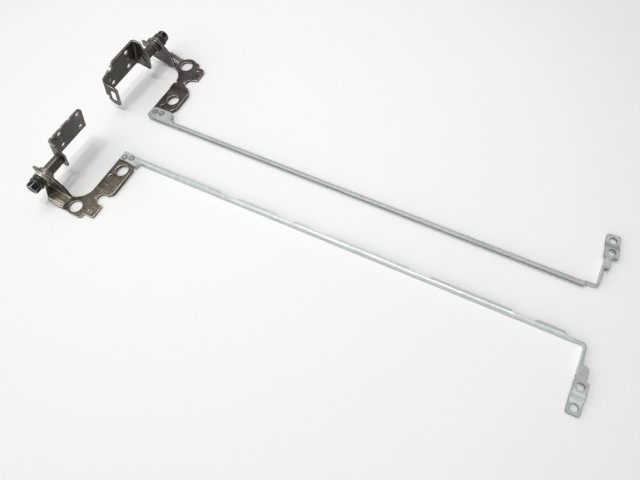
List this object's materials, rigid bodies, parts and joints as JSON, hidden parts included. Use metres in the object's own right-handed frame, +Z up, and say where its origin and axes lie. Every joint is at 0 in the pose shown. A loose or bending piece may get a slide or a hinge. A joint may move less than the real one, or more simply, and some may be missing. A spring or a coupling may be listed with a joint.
{
  "type": "pair of laptop hinges",
  "caption": "Right and left laptop lid hinges: folded screen bracket with a long riveted rail, washer and disc spring friction stack on a shaft, and folded base bracket.",
  "frame": {"origin": "middle of the pair's box, on the surface that the brackets lie on", "axes": "+X along the rails, from the shafts to the end tabs; +Y across the pair, from the right hinge to the left; +Z up, out of the lid's inside"},
  "size_m": [0.2426, 0.105, 0.0248],
  "materials": {
    "dark_plated_steel": "black nickel plating over pressed steel",
    "galvanised_sheet": "galvanised sheet with a dull spangle",
    "rivet_steel": "zinc plated, flattened by the riveting punch",
    "shaft_steel": "oiled, dark oxidised turned steel",
    "black_spring_steel": "black oxide with an oily gloss",
    "friction_bronze": "dull bronze-coloured friction washer",
    "bright_steel": "bright ground steel washer",
    "stop_steel": "grey phosphated pressed steel"
  },
  "bodies": {
    "root": {"right_screen_bracket": "dark_plated_steel", "right_display_rail": "galvanised_sheet", "right_rail_rivets": "rivet_steel", "right_friction_washer": "friction_bronze", "left_screen_bracket": "dark_plated_steel", "left_display_rail": "galvanised_sheet", "left_rail_rivets": "rivet_steel", "left_friction_washer": "friction_bronze"},
    "right_base": {"right_shaft": "shaft_steel", "right_spacer_washer": "bright_steel", "right_stop_washer": "stop_steel", "right_pressure_washer": "bright_steel", "right_disc_spring_1": "black_spring_steel", "right_disc_spring_2": "black_spring_steel", "right_disc_spring_3": "black_spring_steel", "right_disc_spring_4": "black_spring_steel", "right_lock_nut": "black_spring_steel", "right_base_bracket": "dark_plated_steel"},
    "left_base": {"left_shaft": "shaft_steel", "left_spacer_washer": "bright_steel", "left_stop_washer": "stop_steel", "left_pressure_washer": "bright_steel", "left_disc_spring_1": "black_spring_steel", "left_disc_spring_2": "black_spring_steel", "left_disc_spring_3": "black_spring_steel", "left_disc_spring_4": "black_spring_steel", "left_lock_nut": "black_spring_steel", "left_base_bracket": "dark_plated_steel"}
  },
  "joints": [
    {"name": "right_hinge", "type": "hinge", "parent": "root", "child": "right_base", "pos_m": [-0.11156, -0.0335, 0.0126], "axis": [0, -1, 0], "range_deg": [-69, 66]},
    {"name": "left_hinge", "type": "hinge", "parent": "root", "child": "left_base", "pos_m": [-0.11476, 0.0335, 0.0126], "axis": [0, -1, 0], "range_deg": [-74, 61]}
  ]
}
